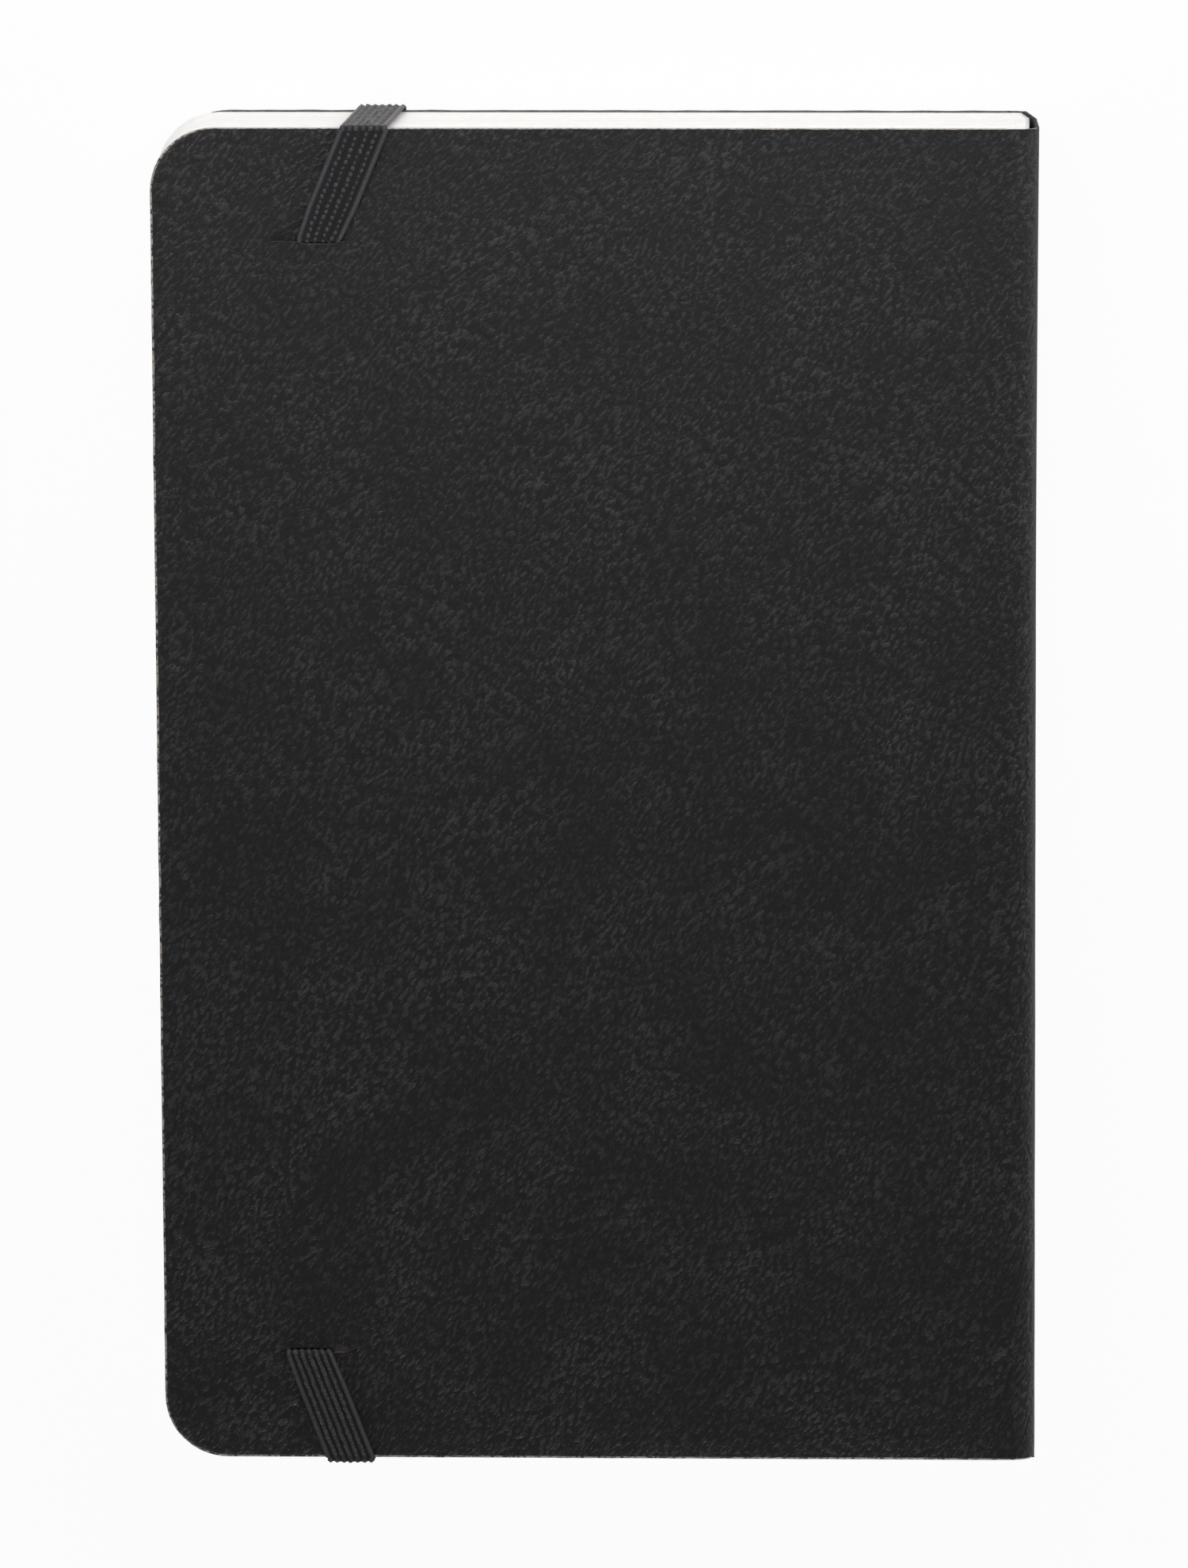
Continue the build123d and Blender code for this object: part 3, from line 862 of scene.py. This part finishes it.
def band_profile(ribs, rib_height):
    """Offsets across and out of the band, once round its section: cords, valleys beside them, and ribs."""
    across = np.linspace(-HALF_BAND, HALF_BAND, 49)
    cord = np.exp(-(((np.abs(across) - EDGE_CORD) / (0.2 * MM)) ** 2))
    inside = np.clip((WEB_REACH - np.abs(across)) / (0.15 * MM), 0, 1)
    rib_pitch = 2 * WEB_REACH / ribs
    rib = 0.5 - 0.5 * np.cos((across / rib_pitch + ribs / 2) * 2 * math.pi)
    close = np.sqrt(np.clip(1 - (np.abs(across) / HALF_BAND) ** 14, 0, 1))
    face = (0.02 * MM + 0.21 * MM * cord + (WEB_RISE + rib_height * rib) * inside) * close
    under = -(0.22 * MM) * close
    # Painted light and shade: the flat body and the valleys between cords and ribs are painted dark, and the
    # cords and ribs painted lighter, so that only they show; the underside takes a middling share.
    raised_for_painted_light = np.clip(cord + min(rib_height / (0.15 * MM), 0.7) * rib * inside, 0, 1)
    upper = list(zip(across, face, raised_for_painted_light))
    return upper + [(a, h, 0.3) for a, h in zip(across[-2:0:-1], under[-2:0:-1])]


def stitch_tree():
    """Geometry nodes: one small loop of yarn on each point, turned to lie along the band."""
    tree, add, given = node_group(
        "knit_stitches", Points="Geometry", Loop_size="Vector", Size_spread="Float", Seed="Int",
        Yarn="Material",
    )
    ball = add("GeometryNodeMeshUVSphere", {"Segments": 6, "Rings": 4, "Radius": 0.5})
    loop = add("GeometryNodeTransform", {"Geometry": ball, "Scale": given["Loop size"]})
    along, out = (
        add("GeometryNodeInputNamedAttribute", {"Name": name}, data_type="FLOAT_VECTOR")
        for name in ("along", "outwards")
    )
    turn = add(
        "FunctionNodeAxesToRotation", {"Primary Axis": along, "Secondary Axis": out},
        primary_axis="X", secondary_axis="Z",
    )
    low = add("ShaderNodeMath", {0: 1.0, 1: given["Size spread"]}, operation="SUBTRACT")
    high = add("ShaderNodeMath", {0: 1.0, 1: given["Size spread"]}, operation="ADD")
    size = add("FunctionNodeRandomValue", {"Min": low, "Max": high, "Seed": given["Seed"]}, data_type="FLOAT")
    set_on = add(
        "GeometryNodeInstanceOnPoints",
        {
            "Points": given["Points"], "Instance": loop, "Rotation": turn,
            "Scale": [s for s in size.outputs if s.type == "VALUE" and s.enabled][0],
        },
    )
    real = add("GeometryNodeRealizeInstances", {0: set_on})
    done = add("GeometryNodeSetMaterial", {"Geometry": real, "Material": given["Yarn"]})
    add("NodeGroupOutput", {0: done})
    return tree


stitches = stitch_tree()


def knit(name, route, seed, wales, pitch, rib_height, loop, pinch=1.0, side=1):
    """A length of band: its ribbed body, with a column of the knit's loops along each rib of its outer face.

    The start of the length may be pinched narrower, where a slot holds it.
    """
    frames = band_frames(route, side)
    profile = band_profile(wales, rib_height)
    around = len(profile)
    start = frames[0][0]
    narrowed = [pinch + (1 - pinch) * min((p - start).length / (4 * MM), 1.0) for p, _, _, _ in frames]
    frames = [(p, t, n, w * share) for (p, t, n, w), share in zip(frames, narrowed)]
    vertices = [tuple(p + w * a + n * h) for p, _, n, w in frames for a, h, _ in profile]
    faces = []
    for i in range(len(frames) - 1):
        for j in range(around):
            k = (j + 1) % around
            faces.append((i * around + j, i * around + k, (i + 1) * around + k, (i + 1) * around + j))
    faces.append(tuple(range(around)))
    faces.append(tuple((len(frames) - 1) * around + j for j in range(around)))
    piece = object_from(name, vertices, faces, [ELASTIC])
    draw = random.Random(seed)
    lengths = np.concatenate([[0], np.cumsum([(b[0] - a[0]).length for a, b in zip(frames, frames[1:])])])
    points, along, outwards = [], [], []
    rib_pitch = 2 * WEB_REACH / wales
    for wale in range(wales):
        aside = (wale - (wales - 1) / 2) * rib_pitch
        place = pitch * (0.5 if wale % 2 else 1.0)
        lean = 0.3 if wale % 2 else -0.3
        while place < lengths[-1] - pitch / 2:
            i = int(np.searchsorted(lengths, place)) - 1
            share = (place - lengths[i]) / (lengths[i + 1] - lengths[i])
            (p, t, n, w), (q, _, _, _) = frames[i], frames[i + 1]
            stray = draw.uniform(-0.07, 0.07) * MM
            points.append(p.lerp(q, share) + w * (aside + stray) + n * (WEB_RISE + rib_height))
            along.append((t + w * lean).normalized())
            outwards.append(n)
            place += pitch * draw.uniform(0.9, 1.1)
    base = bpy.data.meshes.new("stitch_points")
    base.from_pydata(points, [], [])
    for attribute, values in (("along", along), ("outwards", outwards)):
        layer = base.attributes.new(attribute, "FLOAT_VECTOR", "POINT")
        layer.data.foreach_set("vector", [c for v in values for c in v])
    given = {"Loop size": loop, "Size spread": 0.28, "Seed": seed, "Yarn": ELASTIC}
    loops = grown_mesh(stitches, base, given)
    work = bmesh.new()
    work.from_mesh(piece.data)
    work.from_mesh(loops)
    # The painted light share for each point: from the profile for the band's body, nearly full for the loops.
    layer = work.verts.layers.float.new("raised_for_painted_light")
    for number, vertex in enumerate(work.verts):
        vertex[layer] = profile[number % around][2] if number < len(vertices) else 0.85
    for face in work.faces:
        face.smooth = True
        face.material_index = 0
    work.to_mesh(piece.data)
    work.free()
    return piece


# At the head tail the loops stand apart as beads; elsewhere they crowd into ribs.
BEADS = {"wales": 4, "pitch": 0.62 * MM, "rib_height": 0.02 * MM, "loop": (0.46 * MM, 0.34 * MM, 0.24 * MM)}
RIBS = {"wales": 5, "pitch": 0.42 * MM, "rib_height": 0.1 * MM, "loop": (0.46 * MM, 0.3 * MM, 0.12 * MM)}


def tail(name, slot_x, edge_x, side, seed, knitting, pinch):
    """The band from inside its slot, over the back cover, to the head or foot edge."""
    corners = [
        (slot_x, side * (SLOT_Y - 0.1 * MM), back_skin_low.z - 0.1 * MM),
        (slot_x, side * (SLOT_Y + 0.05 * MM), band_level),
        (edge_x, side * (HALF_HEIGHT - 0.1 * MM), band_level),
    ]
    route = rounded_route(corners, [0, 0.6 * MM, 0], 0.25 * MM)
    return knit(name, route, seed, pinch=pinch, side=side, **knitting)


head_tail = tail("elastic_tail_head", HEAD_SLOT_X, HEAD_BACK_X, 1, 5, BEADS, 0.88)
foot_tail = tail("elastic_tail_foot", FOOT_SLOT_X, FOOT_BACK_X, -1, 6, RIBS, 0.95)
for piece, node, side in ((head_tail, "elastic_head_tail", 1), (foot_tail, "elastic_foot_tail", -1)):
    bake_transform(piece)
    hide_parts(node)

loop_corners = [
    (HEAD_BACK_X, HALF_HEIGHT - 0.1 * MM, band_level),
    (HEAD_BACK_X, WRAP_Y, band_level),
    (HEAD_FRONT_X, WRAP_Y, front_level),
    (FOOT_FRONT_X, -WRAP_Y, front_level),
    (FOOT_BACK_X, -WRAP_Y, band_level),
    (FOOT_BACK_X, -HALF_HEIGHT + 0.1 * MM, band_level),
]
loop_route = rounded_route(loop_corners, [0, 0.3 * MM, 0.5 * MM, 0.5 * MM, 0.3 * MM, 0], 0.4 * MM)
loop = knit("elastic_loop_band", loop_route, 7, **RIBS)
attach(loop, "elastic_loop")
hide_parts("elastic_head_wrap", "elastic_foot_wrap", "elastic_front_span")

# ================= CAD pieces that stay =================
for node_name, material in (
    ("back_cover_board", CARD), ("front_sewing_thread", THREAD), ("back_sewing_thread", THREAD),
    ("elastic_hidden_run", ELASTIC),
):
    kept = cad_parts[node_name]
    if not kept.material_slots:
        kept.data.materials.append(material)
    for material_slot in kept.material_slots:
        material_slot.material = material


# ================= floor, light and camera =================
FLOOR_GLOW = 0.95  # the share of the floor seen as plain white; the rest takes the shadow
CAMERA_TURN = (13.35, 2.08, 0.17)  # degrees off square to the back cover
CAMERA_OFFSET = (0.2, 1.8, 1445.3)  # from the camera to its aim, in mm across, down and ahead
FOCAL_LENGTH = 323.95  # mm, on a sensor 36 mm wide


def pale_floor():
    """A wide white sweep that keeps the notebook's shadow."""
    mesh = bpy.data.meshes.new("studio_floor")
    reach = 6.0
    corners = [(-reach, -reach, 0), (reach, -reach, 0), (reach, reach, 0), (-reach, reach, 0)]
    mesh.from_pydata(corners, [], [(0, 1, 2, 3)])
    material = bpy.data.materials.new("white_studio_sweep")
    add = cleared(material)
    surface = add("ShaderNodeBsdfDiffuse", {"Color": srgb("#f4f4f4")})
    glow = add("ShaderNodeEmission", {"Color": srgb("#ffffff"), "Strength": 1.0})
    path = add("ShaderNodeLightPath").outputs
    seen = add("ShaderNodeMath", {0: path["Is Camera Ray"], 1: path["Is Glossy Ray"]}, operation="MAXIMUM")
    seen = add("ShaderNodeMath", {0: seen, 1: path["Is Transmission Ray"]}, operation="MAXIMUM")
    share = add("ShaderNodeMath", {0: seen, 1: FLOOR_GLOW}, operation="MULTIPLY")
    mixed = add("ShaderNodeMixShader", {0: share, 1: surface, 2: glow})
    add("ShaderNodeOutputMaterial", {"Surface": mixed})
    mesh.materials.append(material)
    floor = in_scene("studio_floor", mesh)


def studio_world():
    """Soft light from all round: brighter low down, as from a white sweep, and dimmer overhead."""
    world = bpy.data.worlds.new("soft_studio")
    bpy.context.scene.world = world
    add = cleared(world)
    way = add("ShaderNodeTexCoord").outputs["Generated"]
    rise = add("ShaderNodeSeparateXYZ", {0: way}).outputs["Z"]
    level = add("ShaderNodeMapRange", {"Value": rise, 1: 0.1, 2: 0.75, 3: 0.43, 4: 0.05})
    light = add("ShaderNodeBackground", {"Color": srgb("#ffffff"), "Strength": level})
    add("ShaderNodeOutputWorld", {"Surface": light})


def soft_lamp(name, place, target, width, depth, power):
    """A square-on softbox."""
    data = bpy.data.lights.new(name, "AREA")
    data.shape = "RECTANGLE"
    data.size, data.size_y, data.energy = width, depth, power
    lamp = in_scene(name, data)
    lamp.location = place
    lamp.rotation_euler = (Vector(target) - Vector(place)).to_track_quat("-Z", "Y").to_euler()


pale_floor()
studio_world()
soft_lamp("head_softbox", (0, 0.17, 0.15), (0, 0.06, 0), 0.5, 0.12, 0.5)
soft_lamp("fore_edge_softbox", (-0.35, 0, 0.05), (0, 0, 0), 0.3, 0.06, 0.1)
soft_lamp("spine_softbox", (0.35, 0, 0.05), (0, 0, 0), 0.3, 0.06, 0.3)
soft_lamp("foot_softbox", (0, -0.35, 0.05), (0, 0, 0), 0.3, 0.06, 0.4)


def camera_at():
    """The view: from the head side, 13 degrees off square to the back cover, through a long lens."""
    turn = Euler([math.radians(a) for a in CAMERA_TURN], "XYZ").to_matrix()
    rows = turn @ Matrix.Diagonal((1, -1, -1))
    aim = Vector((0, 0, BACK_FACE))
    offset = Vector([length * MM for length in CAMERA_OFFSET])
    data = bpy.data.cameras.new("studio_camera")
    data.sensor_width = 36.0
    data.lens = FOCAL_LENGTH
    data.clip_start, data.clip_end = 0.05, 20.0
    camera = in_scene("studio_camera", data)
    axes = Matrix((rows[0], -rows[1], -rows[2])).transposed()
    camera.matrix_world = Matrix.Translation(aim - rows.transposed() @ offset) @ axes.to_4x4()
    bpy.context.scene.camera = camera


camera_at()
bpy.context.scene.view_settings.view_transform = "Standard"
